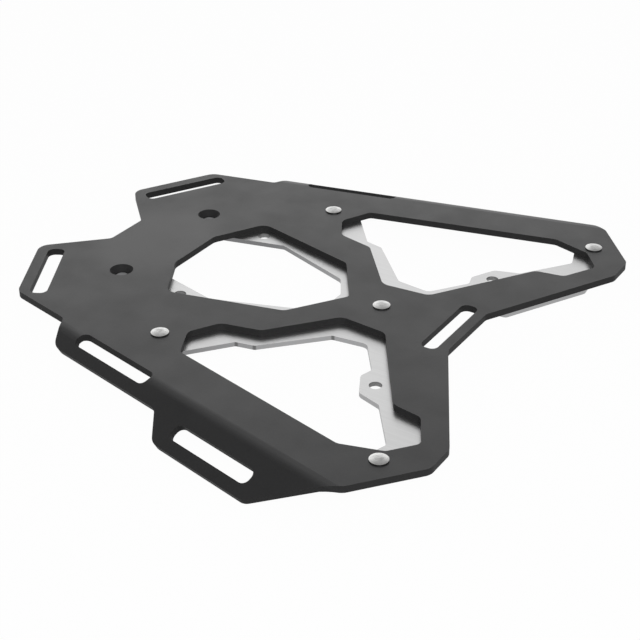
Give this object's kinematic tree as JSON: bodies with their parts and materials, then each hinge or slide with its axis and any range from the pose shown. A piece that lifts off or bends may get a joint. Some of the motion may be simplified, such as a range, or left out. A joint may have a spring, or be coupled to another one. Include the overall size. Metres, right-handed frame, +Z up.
{
  "type": "motorcycle luggage rack",
  "caption": "Flat rear luggage rack: a black plate with folded sides, strap slots and large openings, riveted to a bare metal plate that bolts to the motorcycle.",
  "frame": {"origin": "on the middle plane, in the underside of the lower plate, midway between the two rear bolt holes that fix the rack to the motorcycle", "axes": "+Z up, +Y forward towards the rider, +X to the rider's right; the rack is symmetric about X = 0"},
  "size_m": [0.4162, 0.367, 0.0214],
  "materials": {
    "black_coat": "satin black powder coat on aluminium plate",
    "bare_plate": "bare, fine brushed aluminium plate",
    "rivet_metal": "bare satin aluminium rivet"
  },
  "bodies": {
    "root": {"top_plate": "black_coat", "lower_plate": "bare_plate", "rivet_centre": "rivet_metal", "rivet_front_left": "rivet_metal", "rivet_front_right": "rivet_metal", "rivet_rear_left": "rivet_metal", "rivet_rear_right": "rivet_metal"}
  },
  "joints": []
}
